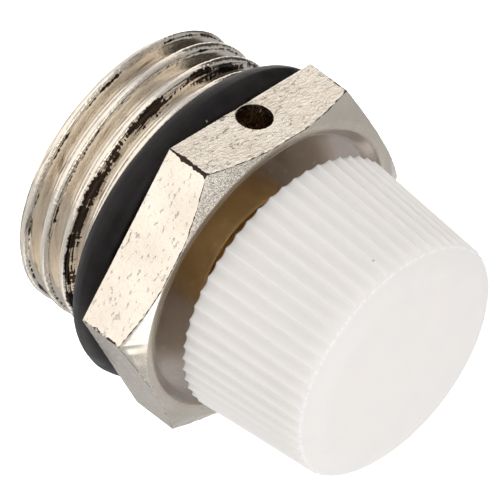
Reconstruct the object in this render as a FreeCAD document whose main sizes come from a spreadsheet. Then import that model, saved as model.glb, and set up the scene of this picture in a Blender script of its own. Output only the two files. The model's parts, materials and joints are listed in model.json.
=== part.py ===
import FreeCAD, Part
import math
import os

import Sketcher

# Automatic air vent, G 1/2, 23 mm across flats. Millimetres, +Z from the threaded inlet end to the knob.
# The origin is the centre of the inlet end face. The drain hole in the hexagon faces -Y.

DIMENSIONS = {
    # inlet thread, G 1/2
    "thread_major_r": 10.4775,
    "thread_minor_r": 9.3155,
    "thread_pitch": 1.814,
    "thread_crest": 0.302,
    "thread_end_r": 9.75,
    "thread_end_z": 0.7,
    "thread_run": 6.45,
    "thread_phase": 0.235,
    # sealing groove and flange ring
    "groove_r": 9.2,
    "groove_low": 7.3,
    "ring_centre_r": 10.64,
    "ring_section_r": 1.43,
    "ring_z": 8.13,
    # hexagon and its dished front
    "seat_z": 9.6,
    "hex_across": 23.0,
    "front_z": 14.0,
    "chamfer_r": 11.55,
    "chamfer_slope": 0.57735,
    "dish_rim_r": 10.83,
    "dish_floor_r": 9.99,
    "dish_z": 13.05,
    "mouth_r": 5.4,
    # chambers bored through the body
    "inlet_r": 7.6,
    "clip_groove_r": 8.1,
    "clip_groove_low": 0.25,
    "clip_groove_high": 0.87,
    "wall_low": 5.0,
    "wall_high": 6.0,
    "port_r": 2.5,
    "seat_lip_r": 3.3,
    "seat_lip_z": 6.3,
    "chamber_r": 5.4,
    "chamber_z": 7.2,
    "stem_bore_r": 5.0,
    "relief_r": 6.0,
    "relief_low": 9.7,
    "relief_high": 11.6,
    "gland_r": 5.75,
    "gland_low": 11.85,
    "gland_high": 12.7,
    # drain hole in the front flat
    "drain_z": 10.93,
    "drain_r": 1.25,
    "drain_bore_r": 0.6,
    "drain_depth": 3.0,
    # knob
    "knob_low": 15.65,
    "knob_low_r": 9.88,
    "knob_rim_z": 25.36,
    "knob_rim_r": 9.12,
    "knob_top_z": 26.72,
    "knob_face_r": 7.32,
    "knob_face_z": 26.355,
    "knob_edge": 3.04,
    "flute_r": 0.72,
    "flute_depth": 0.25,
    "cavity_low_r": 8.45,
    "cavity_top_r": 7.75,
    "cavity_top_z": 25.0,
    "hub_r": 6.1,
    "hub_low": 16.6,
    "web_thick": 0.9,
    "web_low": 18.1,
    "web_high": 25.3,
    # stem
    "stem_r": 4.95,
    "stem_low": 7.35,
    "stem_top": 24.6,
    "spline_r": 4.6,
    "spline_low": 16.6,
    "stem_floor": 8.6,
    "stem_step_r": 3.0,
    "stem_step_z": 9.0,
    "stem_inner_r": 3.9,
    "spigot_hole_r": 1.8,
    "outlet_r": 0.35,
    "outlet_z": 10.2,
    "bypass_width": 1.2,
    "bypass_floor_r": 4.4,
    "stem_bevel": 0.3,
    "bypass_top": 10.0,
    # disc pack
    "disc_thick": 0.9,
    "disc_r": 3.5,
    "disc_hole_r": 1.2,
    "pack_low": 9.4,
    "core_r": 1.1,
    "core_bore_r": 0.7,
    "core_flange_r": 3.85,
    "core_top": 21.6,
    "core_slot": 0.4,
    "core_slot_at": 0.3,
    "follower_thick": 0.6,
    "follower_r": 3.8,
    "pack_spring_r": 2.6,
    "pack_spring_wire": 0.22,
    "pack_spring_top": 23.4,
    "plug_top": 24.3,
    "driver_slot": 0.6,
    "driver_slot_long": 4.4,
    "driver_slot_deep": 0.4,
    # jumper valve under the stem
    "jumper_r": 4.2,
    "jumper_low": 6.92,
    "jumper_floor": 7.12,
    "jumper_high": 7.33,
    "boss_r": 1.85,
    "boss_low": 6.3,
    "spigot_r": 1.75,
    "spigot_top": 8.9,
    "spigot_tip_r": 1.65,
    "lip_r": 2.1,
    "lip_z": 8.64,
    "spigot_bore_r": 1.35,
    "jumper_port_r": 0.4,
    "jumper_port_at": 1.25,
    "push_pin_r": 0.7,
    "push_pin_low": 3.76,
    "washer_r": 4.0,
    "spigot_slot": 0.6,
    # check valve in the inlet
    "poppet_top": 3.73,
    "poppet_r": 3.7,
    "poppet_face": 3.2,
    "poppet_low": 2.65,
    "poppet_boss_r": 1.5,
    "poppet_stem_r": 0.9,
    "poppet_stem_low": 0.3,
    "poppet_seal_r": 3.5,
    "plate_low": 1.09,
    "plate_high": 1.55,
    "plate_r": 7.55,
    "plate_hole_r": 1.25,
    "plate_hole_at": 4.9,
    "guide_r": 0.96,
    "strainer_low": 0.87,
    "strainer_hole_r": 0.4,
    "clip_low": 0.29,
    "clip_high": 0.85,
    "clip_inner_r": 6.3,
    "clip_outer_r": 8.0,
    "clip_gap": 2.4,
    "check_spring_wire": 0.16,
    "check_spring_low_r": 3.1,
    "check_spring_top_r": 1.9,
    # clip that holds the knob on the stem
    "knob_clip_r": 4.72,
    "knob_clip_section": 0.3,
    "knob_clip_z": 23.0,
    "knob_clip_gap": 1.8,
}

DISCS = 12
FLUTES = 55
WEBS = 6
STRAINER_RINGS = ((2.2, 9), (3.7, 15), (5.2, 21))
PLATE_HOLES = 6
JUMPER_PORTS = 4
CORE_SLOTS = 4
STEM_OUTLETS = 6
BYPASS_TURNS = (30, 210)
DRAIN_TURN = -90
PACK_SPRING_TURNS = 3.5
CHECK_SPRING_TURNS = 2.5

# a thread groove's flank angle, and how many turns the cutting pass makes
FLANK = math.tan(math.radians(27.5))
THREAD_TURNS = 6.4
THREAD_LEAD_IN = 3
THREAD_PROUD = 0.22

# clearance between stacked pieces, and how far a cut runs past the surface it opens
GAP = 0.01
PAST = 0.5
CHAMFER_REACH = 2.3
SHEET = "Dims"


class Dim:
    """A length that knows its value and the spreadsheet expression behind it."""

    def __init__(self, value, text):
        self.value = float(value)
        self.text = text

    def _join(self, other, sign, value):
        text = other.text if isinstance(other, Dim) else repr(other)
        return Dim(value, "(%s %s %s)" % (self.text, sign, text))

    def __add__(self, other):
        return self._join(other, "+", self.value + plain(other))

    def __sub__(self, other):
        return self._join(other, "-", self.value - plain(other))

    def __mul__(self, other):
        return self._join(other, "*", self.value * plain(other))

    def __truediv__(self, other):
        return self._join(other, "/", self.value / plain(other))


def plain(value):
    """The number behind a dimension."""
    return value.value if isinstance(value, Dim) else float(value)


class Dims:
    """The spreadsheet of driving dimensions, read by name."""

    def __init__(self, doc):
        sheet = doc.addObject("Spreadsheet::Sheet", SHEET)
        for row, (name, value) in enumerate(DIMENSIONS.items(), start=1):
            sheet.set("A%d" % row, name)
            sheet.set("B%d" % row, str(value))
            sheet.setAlias("B%d" % row, name)
        doc.recompute()

    def __getattr__(self, name):
        return Dim(DIMENSIONS[name], "%s.%s" % (SHEET, name))


doc = FreeCAD.newDocument("air_vent")
D = Dims(doc)
ORIGIN = FreeCAD.Vector(0, 0, 0)
Z_AXIS = FreeCAD.Vector(0, 0, 1)
finished = []


def drive(obj, prop, value):
    """Tie a property to the spreadsheet when the value comes from it."""
    if isinstance(value, Dim):
        obj.setExpression(prop, value.text)
    else:
        setattr(obj, prop, value)


def origin_plane(body, role):
    """One of the body's own reference planes."""
    return next(item for item in body.Origin.OriginFeatures if item.Role == role)


def new_body(name):
    """Start a piece; it is exported under this name."""
    body = doc.addObject("PartDesign::Body", name)
    body.Label = name
    finished.append(body)
    return body


def seated(body, kind, name):
    """A new feature or sketch laid on the body's XY plane."""
    feature = body.newObject(kind, name)
    feature.AttachmentSupport = (origin_plane(body, "XY_Plane"), [""])
    feature.MapMode = "FlatFace"
    return feature


def new_sketch(body):
    """An empty sketch in the (r, z) half plane."""
    sketch = body.newObject("Sketcher::SketchObject", body.Name + "_sketch")
    sketch.AttachmentSupport = (origin_plane(body, "XZ_Plane"), [""])
    sketch.MapMode = "FlatFace"
    return sketch


def pin_down(sketch, geo, pos, point):
    """Fix one vertex of a sketch by its two coordinates."""
    for kind, value in zip(("DistanceX", "DistanceY"), point):
        if plain(value) == 0:
            axis = -2 if kind == "DistanceX" else -1
            sketch.addConstraint(Sketcher.Constraint("PointOnObject", geo, pos, axis))
            continue
        index = sketch.addConstraint(Sketcher.Constraint(kind, -1, 1, geo, pos, plain(value)))
        if isinstance(value, Dim):
            sketch.setExpression("Constraints[%d]" % index, value.text)


def outline(sketch, points, arcs=None):
    """Closed outline through (r, z) points; arcs maps a segment's number to (radius, side).

    An arc whose radius is a plain number only starts from it: its centre is held on the axis instead.
    """
    arcs = arcs or {}
    places = [FreeCAD.Vector(plain(x), plain(y), 0) for x, y in points]
    count = len(points)
    for k in range(count):
        start, end = places[k], places[(k + 1) % count]
        if k in arcs:
            radius, side = arcs[k]
            sketch.addGeometry(arc_between(start, end, plain(radius), side), False)
        else:
            sketch.addGeometry(Part.LineSegment(start, end), False)
    ends = [segment_ends(sketch.Geometry[k], places[k]) for k in range(count)]
    for k in range(count):
        after = (k + 1) % count
        sketch.addConstraint(Sketcher.Constraint("Coincident", k, ends[k][1], after, ends[after][0]))
    for k in range(count):
        pin_down(sketch, k, ends[k][0], points[k])
    for k, (radius, _side) in arcs.items():
        if not isinstance(radius, Dim):
            sketch.addConstraint(Sketcher.Constraint("PointOnObject", k, 3, -2))
            continue
        index = sketch.addConstraint(Sketcher.Constraint("Radius", k, plain(radius)))
        sketch.setExpression("Constraints[%d]" % index, radius.text)


def arc_between(start, end, radius, side):
    """Arc from start to end, bulging to the left (+1) or right (-1) of the way from start to end."""
    chord = end - start
    half = chord.Length / 2
    sagitta = radius - math.sqrt(radius * radius - half * half)
    left = FreeCAD.Vector(-chord.y, chord.x, 0).normalize()
    middle = (start + end) * 0.5 + left * (side * sagitta)
    return Part.Arc(start, middle, end)


def segment_ends(segment, start):
    """(start, end) vertex numbers of a segment, told by which end lies at the wanted start."""
    near = (segment.StartPoint - start).Length < (segment.EndPoint - start).Length
    return (1, 2) if near else (2, 1)


def turned(body, points, arcs=None, cut=False):
    """Turn an (r, z) outline about +Z, adding to the body or cutting from it."""
    sketch = new_sketch(body)
    outline(sketch, points, arcs)
    feature = body.newObject("PartDesign::Groove" if cut else "PartDesign::Revolution", body.Name + "_turned")
    feature.Profile = sketch
    feature.ReferenceAxis = (sketch, ["V_Axis"])
    feature.Angle = 360
    return settle(body, feature, cut)


def settle(body, feature, cut):
    """Recompute, and stop if a cut removed nothing."""
    before = body.Shape.Volume if cut else None
    doc.recompute()
    after = feature.Shape.Volume
    if cut and not after < before - 1e-6:
        raise RuntimeError("%s cuts nothing" % feature.Name)
    return feature


def block(body, x, y, z, size, turn=0.0):
    """Cut a box whose low corner is (x, y, z), turned about +Z by a number of degrees."""
    feature = seated(body, "PartDesign::SubtractiveBox", body.Name + "_slot")
    spin = FreeCAD.Rotation(Z_AXIS, turn)
    corner = spin.multVec(FreeCAD.Vector(plain(x), plain(y), plain(z)))
    feature.AttachmentOffset = FreeCAD.Placement(corner, spin)
    for prop, value in zip(("Length", "Width", "Height"), size):
        drive(feature, prop, value)
    return settle(body, feature, True)


def drilled(body, at, low, radius, depth, aim=None):
    """Cut a round hole that starts at (at, low) in the XZ plane and runs up +Z, or out along an aim."""
    feature = seated(body, "PartDesign::SubtractiveCylinder", body.Name + "_hole")
    start = FreeCAD.Vector(plain(at), 0, plain(low))
    if aim is None:
        feature.AttachmentOffset = FreeCAD.Placement(start, FreeCAD.Rotation())
    else:
        spin = FreeCAD.Rotation(Z_AXIS, aim)
        outwards = FreeCAD.Rotation(FreeCAD.Vector(0, 1, 0), 90)
        feature.AttachmentOffset = FreeCAD.Placement(spin.multVec(start), spin * outwards)
    if isinstance(low, Dim):
        feature.setExpression(".AttachmentOffset.Base.z", low.text)
    drive(feature, "Radius", radius)
    drive(feature, "Height", depth)
    return settle(body, feature, True)


def around(body, feature, count):
    """Repeat a feature evenly round +Z, and stop if the copies change nothing."""
    pattern = body.newObject("PartDesign::PolarPattern", body.Name + "_pattern")
    pattern.Originals = [feature]
    pattern.Axis = (body.Origin.OriginFeatures[2], [""])
    pattern.Angle = 360
    pattern.Occurrences = count
    before = feature.Shape.Volume
    body.Tip = pattern
    doc.recompute()
    if abs(pattern.Shape.Volume - before) < 1e-6:
        raise RuntimeError("%s repeats nothing" % pattern.Name)
    return pattern


def ring_of_section(name, centre_r, section_r, height):
    """A round-section ring about +Z."""
    body = new_body(name)
    feature = seated(body, "PartDesign::AdditiveTorus", name + "_torus")
    feature.setExpression(".AttachmentOffset.Base.z", height.text)
    drive(feature, "Radius1", centre_r)
    drive(feature, "Radius2", section_r)
    doc.recompute()
    return body


def tube(name, inner, outer, low, high):
    """A plain washer or disc: a rectangle turned about +Z."""
    body = new_body(name)
    turned(body, [(inner, low), (outer, low), (outer, high), (inner, high)])
    return body


def cut_thread(body):
    """Cut the right-hand inlet thread as one helical groove with 55 degree flanks."""
    sketch = new_sketch(body)
    bottom = D.thread_crest / 2
    reach = D.thread_major_r + THREAD_PROUD
    slope = (reach - D.thread_minor_r) * FLANK
    middle = D.thread_phase + D.thread_pitch
    outline(
        sketch,
        [
            (D.thread_minor_r, middle - bottom),
            (D.thread_minor_r, middle + bottom),
            (reach, middle + bottom + slope),
            (reach, middle - bottom - slope),
        ],
    )
    sketch.setExpression(".AttachmentOffset.Base.y", "-%d * %s" % (THREAD_LEAD_IN, D.thread_pitch.text))
    feature = body.newObject("PartDesign::SubtractiveHelix", "inlet_thread")
    feature.Profile = sketch
    feature.ReferenceAxis = (sketch, ["V_Axis"])
    feature.Mode = 0
    drive(feature, "Pitch", D.thread_pitch)
    drive(feature, "Height", D.thread_pitch * THREAD_TURNS)
    feature.LeftHanded = False
    feature.Angle = 0
    return settle(body, feature, True)


def coil(name, low_r, top_r, wire, ends, turns):
    """A round-wire coil between two heights, straight or conical; wire is the wire's radius."""
    body = new_body(name)
    low, high = ends
    sketch = new_sketch(body)
    centre = FreeCAD.Vector(plain(low_r), plain(low) + plain(wire), 0)
    sketch.addGeometry(Part.Circle(centre, Z_AXIS, plain(wire)), False)
    pin_down(sketch, 0, 3, (low_r, low + wire))
    index = sketch.addConstraint(Sketcher.Constraint("Radius", 0, plain(wire)))
    sketch.setExpression("Constraints[%d]" % index, wire.text)
    feature = body.newObject("PartDesign::AdditiveHelix", name + "_coil")
    feature.Profile = sketch
    feature.ReferenceAxis = (sketch, ["V_Axis"])
    climb = plain(high) - plain(low) - 2 * plain(wire)
    feature.Mode = 0
    feature.Pitch = climb / turns
    feature.Height = climb
    feature.Angle = math.degrees(math.atan2(plain(top_r) - plain(low_r), climb))
    doc.recompute()
    return body


def make_valve_body():
    """Body: threaded spigot, sealing groove, dished hexagon, bored chambers and the drain hole."""
    body = new_body("valve_body")
    turned(
        body,
        [
            (0, 0),
            (D.thread_end_r, 0),
            (D.thread_major_r, D.thread_end_z),
            (D.thread_major_r, D.thread_run),
            (D.groove_r, D.groove_low),
            (D.groove_r, D.seat_z + PAST),
            (0, D.seat_z + PAST),
        ],
    )
    cut_thread(body)
    prism = seated(body, "PartDesign::AdditivePrism", "hexagon")
    prism.setExpression(".AttachmentOffset.Base.z", D.seat_z.text)
    prism.Polygon = 6
    drive(prism, "Circumradius", D.hex_across / (2 * math.cos(math.pi / 6)))
    drive(prism, "Height", D.front_z - D.seat_z)
    doc.recompute()
    turned(
        body,
        [
            (D.chamfer_r, D.front_z),
            (D.chamfer_r + CHAMFER_REACH, D.front_z - D.chamfer_slope * CHAMFER_REACH),
            (D.chamfer_r + CHAMFER_REACH, D.front_z + PAST),
            (D.chamfer_r, D.front_z + PAST),
        ],
        cut=True,
    )
    turned(
        body,
        [
            (0, D.dish_z),
            (D.dish_floor_r, D.dish_z),
            (D.dish_rim_r, D.front_z),
            (D.dish_rim_r, D.front_z + PAST),
            (0, D.front_z + PAST),
        ],
        cut=True,
    )
    turned(
        body,
        [
            (0, D.wall_high),
            (D.port_r, D.wall_high),
            (D.port_r, D.seat_lip_z),
            (D.seat_lip_r, D.seat_lip_z),
            (D.seat_lip_r, D.wall_high),
            (D.chamber_r, D.wall_high),
            (D.chamber_r, D.chamber_z),
            (D.stem_bore_r, D.chamber_z + 0.4),
            (D.stem_bore_r, D.relief_low - 0.4),
            (D.relief_r, D.relief_low),
            (D.relief_r, D.relief_high),
            (D.stem_bore_r, D.relief_high),
            (D.stem_bore_r, D.gland_low),
            (D.gland_r, D.gland_low),
            (D.gland_r, D.gland_high),
            (D.stem_bore_r, D.gland_high),
            (D.mouth_r, D.dish_z),
            (D.mouth_r, D.dish_z + 0.2),
            (0, D.dish_z + 0.2),
        ],
        cut=True,
    )
    turned(
        body,
        [
            (0, 0),
            (D.inlet_r, 0),
            (D.inlet_r, D.clip_groove_low),
            (D.clip_groove_r, D.clip_groove_low),
            (D.clip_groove_r, D.clip_groove_high),
            (D.inlet_r, D.clip_groove_high),
            (D.inlet_r, D.wall_low),
            (0, D.wall_low),
        ],
        cut=True,
    )
    drilled(body, 0, D.wall_low - PAST, D.port_r, D.wall_high - D.wall_low + 2 * PAST)
    flat = D.hex_across / 2
    drilled(body, flat - D.drain_depth, D.drain_z, D.drain_r, D.drain_depth + PAST, DRAIN_TURN)
    drilled(body, D.stem_bore_r, D.drain_z, D.drain_bore_r, flat - D.stem_bore_r + PAST, DRAIN_TURN)


def make_knob():
    """Fluted knob with a crowned end, hollow behind, its hub held by webs."""
    body = new_body("knob_cap")
    rise = plain(D.knob_top_z) - plain(D.knob_face_z)
    crown = (plain(D.knob_face_r) ** 2 + rise**2) / (2 * rise)
    turned(
        body,
        [
            (0, D.knob_low),
            (D.knob_low_r, D.knob_low),
            (D.knob_rim_r, D.knob_rim_z),
            (D.knob_face_r, D.knob_face_z),
            (0, D.knob_top_z),
        ],
        arcs={2: (D.knob_edge, -1), 3: (crown, -1)},
    )
    turned(
        body,
        [
            (0, D.knob_low),
            (D.cavity_low_r, D.knob_low),
            (D.cavity_top_r, D.cavity_top_z),
            (D.hub_r, D.cavity_top_z),
            (D.hub_r, D.hub_low),
            (0, D.hub_low),
        ],
        cut=True,
    )
    turned(
        body,
        [
            (0, D.hub_low),
            (D.spline_r, D.hub_low),
            (D.spline_r, D.knob_clip_z - D.knob_clip_section),
            (D.knob_clip_r + D.knob_clip_section, D.knob_clip_z - D.knob_clip_section),
            (D.knob_clip_r + D.knob_clip_section, D.knob_clip_z + D.knob_clip_section),
            (D.spline_r, D.knob_clip_z + D.knob_clip_section),
            (D.spline_r, D.stem_top + 10 * GAP),
            (0, D.stem_top + 10 * GAP),
        ],
        cut=True,
    )
    web = seated(body, "PartDesign::AdditiveBox", "knob_web")
    bite = 0.3
    start = plain(D.hub_r) - bite
    corner = FreeCAD.Vector(start, -plain(D.web_thick) / 2, plain(D.web_low))
    web.AttachmentOffset = FreeCAD.Placement(corner, FreeCAD.Rotation())
    drive(web, "Length", D.cavity_top_r - D.hub_r + 2 * bite)
    drive(web, "Width", D.web_thick)
    drive(web, "Height", D.web_high - D.web_low)
    doc.recompute()
    around(body, web, WEBS)
    flute = seated(body, "PartDesign::SubtractiveCylinder", "flute")
    side = plain(D.knob_rim_z - D.knob_low)
    draft = math.atan2(plain(D.knob_low_r - D.knob_rim_r), side)
    lean = FreeCAD.Rotation(FreeCAD.Vector(0, 1, 0), -math.degrees(draft))
    foot = FreeCAD.Vector(plain(D.knob_low_r - D.flute_depth + D.flute_r), 0, plain(D.knob_low))
    flute.AttachmentOffset = FreeCAD.Placement(foot - lean.multVec(Z_AXIS), lean)
    drive(flute, "Radius", D.flute_r)
    drive(flute, "Height", D.knob_top_z - D.knob_low + 3)
    settle(body, flute, True)
    around(body, flute, FLUTES)


def make_stem():
    """Hollow stem with a splined head, outlet holes and two bypass slots."""
    body = new_body("threaded_stem")
    turned(
        body,
        [
            (D.spigot_hole_r, D.stem_low),
            (D.stem_r - D.stem_bevel, D.stem_low),
            (D.stem_r, D.stem_low + D.stem_bevel),
            (D.stem_r, D.spline_low),
            (D.spline_r, D.spline_low),
            (D.spline_r, D.knob_clip_z - D.knob_clip_section),
            (D.knob_clip_r - D.knob_clip_section, D.knob_clip_z - D.knob_clip_section),
            (D.knob_clip_r - D.knob_clip_section, D.knob_clip_z + D.knob_clip_section),
            (D.spline_r, D.knob_clip_z + D.knob_clip_section),
            (D.spline_r, D.stem_top),
            (D.stem_inner_r, D.stem_top),
            (D.stem_inner_r, D.stem_step_z),
            (D.stem_step_r, D.stem_step_z),
            (D.stem_step_r, D.stem_floor),
            (D.spigot_hole_r, D.stem_floor),
        ],
    )
    wall = D.stem_r - D.stem_step_r
    around(body, drilled(body, D.stem_step_r, D.outlet_z, D.outlet_r, wall + PAST, 0), STEM_OUTLETS)
    low = D.stem_low - PAST
    size = (D.stem_r - D.bypass_floor_r + PAST, D.bypass_width, D.bypass_top - low)
    for turn in BYPASS_TURNS:
        block(body, D.bypass_floor_r, D.bypass_width * -0.5, low, size, turn)


def make_core():
    """Slotted tube that carries the discs."""
    body = new_body("core_tube")
    turned(
        body,
        [
            (D.core_bore_r, D.stem_step_z + 2 * GAP),
            (D.core_flange_r, D.stem_step_z + 2 * GAP),
            (D.core_flange_r, D.pack_low - GAP),
            (D.core_r, D.pack_low - GAP),
            (D.core_r, D.core_top),
            (0, D.core_top),
            (0, D.core_top - PAST),
            (D.core_bore_r, D.core_top - PAST),
        ],
    )
    size = (D.core_r, D.core_slot, D.disc_thick * (DISCS - 1.2))
    slot = block(body, D.core_slot_at, D.core_slot * -0.5, D.pack_low + PAST, size)
    around(body, slot, CORE_SLOTS)


def make_pack():
    """Fibre discs, the follower on them, its spring, and the plug that holds the spring."""
    for k in range(DISCS):
        low = D.pack_low + D.disc_thick * k
        tube("fibre_disc_%02d" % (k + 1), D.disc_hole_r, D.disc_r, low, low + D.disc_thick - GAP)
    top = D.pack_low + D.disc_thick * DISCS
    tube("pack_follower", D.disc_hole_r, D.follower_r, top, top + D.follower_thick)
    ends = (top + D.follower_thick + GAP, D.pack_spring_top)
    coil("pack_spring", D.pack_spring_r, D.pack_spring_r, D.pack_spring_wire, ends, PACK_SPRING_TURNS)
    body = new_body("stem_plug")
    turned(
        body,
        [
            (0, D.pack_spring_top + GAP),
            (D.stem_inner_r, D.pack_spring_top + GAP),
            (D.stem_inner_r, D.plug_top),
            (0, D.plug_top),
        ],
    )
    size = (D.driver_slot_long, D.driver_slot, D.driver_slot_deep + PAST)
    block(body, D.driver_slot_long * -0.5, D.driver_slot * -0.5, D.plug_top - D.driver_slot_deep, size)


def make_jumper():
    """Seat valve that the stem lifts, with its washer and push pin."""
    body = new_body("seat_jumper")
    turned(
        body,
        [
            (0, D.push_pin_low),
            (D.push_pin_r, D.push_pin_low),
            (D.push_pin_r, D.boss_low),
            (D.boss_r, D.boss_low),
            (D.boss_r, D.jumper_low),
            (D.jumper_r, D.jumper_low),
            (D.jumper_r, D.jumper_high),
            (D.spigot_r, D.jumper_high),
            (D.spigot_r, D.lip_z),
            (D.lip_r, D.lip_z),
            (D.spigot_tip_r, D.spigot_top),
            (D.spigot_bore_r, D.spigot_top),
            (D.spigot_bore_r, D.jumper_floor),
            (0, D.jumper_floor),
        ],
    )
    size = (D.jumper_r * 1.5, D.spigot_slot, D.spigot_top - D.jumper_high)
    block(body, D.jumper_r * -0.75, D.spigot_slot * -0.5, D.jumper_high + D.spigot_slot, size)
    depth = D.jumper_floor - D.boss_low + 2 * PAST
    port = drilled(body, D.jumper_port_at, D.boss_low - PAST, D.jumper_port_r, depth)
    around(body, port, JUMPER_PORTS)
    tube("seat_washer", D.boss_r + 2 * GAP, D.washer_r, D.seat_lip_z + GAP, D.jumper_low)


def make_check_valve():
    """Poppet, its seal, conical spring and spring plate."""
    body = new_body("check_poppet")
    turned(
        body,
        [
            (0, D.poppet_stem_low),
            (D.poppet_stem_r, D.poppet_stem_low),
            (D.poppet_stem_r, D.poppet_low),
            (D.poppet_r, D.poppet_low),
            (D.poppet_r, D.poppet_face),
            (D.poppet_boss_r, D.poppet_face),
            (D.poppet_boss_r, D.poppet_top - 3 * GAP),
            (0, D.poppet_top - 3 * GAP),
        ],
    )
    tube("poppet_seal", D.poppet_boss_r, D.poppet_seal_r, D.poppet_face, D.poppet_top)
    ends = (D.plate_high + GAP, D.poppet_low - GAP)
    wire = D.check_spring_wire
    coil("check_spring", D.check_spring_low_r, D.check_spring_top_r, wire, ends, CHECK_SPRING_TURNS)
    plate = tube("spring_plate", D.guide_r, D.plate_r, D.plate_low, D.plate_high)
    depth = D.plate_high - D.plate_low + 2 * PAST
    around(plate, drilled(plate, D.plate_hole_at, D.plate_low - PAST, D.plate_hole_r, depth), PLATE_HOLES)


def make_strainer():
    """Perforated disc that keeps grit out of the check valve."""
    body = tube("inlet_strainer", D.guide_r, D.plate_r, D.strainer_low, D.plate_low - GAP)
    depth = D.plate_low - D.strainer_low + 2 * PAST
    for at, count in STRAINER_RINGS:
        around(body, drilled(body, at, D.strainer_low - PAST, D.strainer_hole_r, depth), count)


def make_clips():
    """Split rings that hold the strainer in the inlet and the knob on the stem."""
    clip = tube("inlet_clip", D.clip_inner_r, D.clip_outer_r, D.clip_low, D.clip_high)
    size = (D.clip_outer_r - D.clip_inner_r + 2 * PAST, D.clip_gap, D.clip_high - D.clip_low + 2 * PAST)
    block(clip, D.clip_inner_r - PAST, D.clip_gap * -0.5, D.clip_low - PAST, size)
    snap = ring_of_section("knob_clip", D.knob_clip_r, D.knob_clip_section - 2 * GAP, D.knob_clip_z)
    size = (D.knob_clip_section * 2 + 2 * PAST, D.knob_clip_gap, 2 * PAST)
    block(snap, D.knob_clip_r - 2 * PAST, D.knob_clip_gap * -0.5, D.knob_clip_z - PAST, size)


def make_rings():
    """Rubber rings under the hexagon and round the stem."""
    ring_of_section("flange_seal_ring", D.ring_centre_r, D.ring_section_r, D.ring_z)
    section = (D.gland_r - D.stem_r) / 2 - 2 * GAP
    ring_of_section("stem_seal_ring", (D.gland_r + D.stem_r) / 2, section, (D.gland_low + D.gland_high) / 2)


def check(body):
    """Stop if the model has a broken feature or a piece isn't one valid solid."""
    states = [item for item in doc.Objects if {"Invalid", "Error"} & set(item.State)]
    if states:
        raise RuntimeError("not sound: %s" % ", ".join(item.Name for item in states))
    shape = body.Shape
    if shape.isNull() or not shape.isValid() or len(shape.Solids) != 1:
        raise RuntimeError("%s is not one valid solid" % body.Label)


def main():
    """Make every piece and write each to its own STEP file."""
    make_valve_body()
    make_rings()
    make_check_valve()
    make_strainer()
    make_jumper()
    make_stem()
    make_core()
    make_pack()
    make_knob()
    make_clips()
    doc.recompute()
    os.makedirs("parts", exist_ok=True)
    for body in finished:
        check(body)
        body.Shape.exportStep(os.path.join("parts", body.Label + ".step"))


main()
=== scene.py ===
import json
import logging
import math
from dataclasses import dataclass, field
from enum import Enum
from typing import Sequence

import bmesh
import bpy
import numpy as np
from mathutils import Matrix, Vector


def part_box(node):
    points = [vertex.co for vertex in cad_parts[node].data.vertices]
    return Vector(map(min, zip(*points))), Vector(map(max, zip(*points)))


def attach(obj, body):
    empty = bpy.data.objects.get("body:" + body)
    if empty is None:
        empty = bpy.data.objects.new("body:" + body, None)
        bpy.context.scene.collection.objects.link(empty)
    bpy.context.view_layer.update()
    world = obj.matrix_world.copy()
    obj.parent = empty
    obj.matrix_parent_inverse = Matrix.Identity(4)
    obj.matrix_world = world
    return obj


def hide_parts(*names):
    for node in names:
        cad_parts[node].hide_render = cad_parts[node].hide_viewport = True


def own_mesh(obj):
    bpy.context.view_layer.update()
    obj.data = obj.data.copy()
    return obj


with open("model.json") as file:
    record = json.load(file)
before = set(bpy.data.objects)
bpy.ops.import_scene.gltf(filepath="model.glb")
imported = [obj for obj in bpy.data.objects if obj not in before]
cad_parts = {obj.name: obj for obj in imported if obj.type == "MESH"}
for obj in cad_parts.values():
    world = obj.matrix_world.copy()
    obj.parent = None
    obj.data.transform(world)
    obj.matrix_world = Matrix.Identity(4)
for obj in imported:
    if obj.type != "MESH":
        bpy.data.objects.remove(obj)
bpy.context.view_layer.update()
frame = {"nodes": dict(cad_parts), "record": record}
MM = 0.001
log = logging.getLogger("air_vent")


class Grain(Enum):
    """How a metal surface was left by its last operation."""

    ROLLED = "rolled"
    TURNED = "turned"
    THREADED = "threaded"
    SHOT = "shot"
    BORED = "bored"


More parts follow.
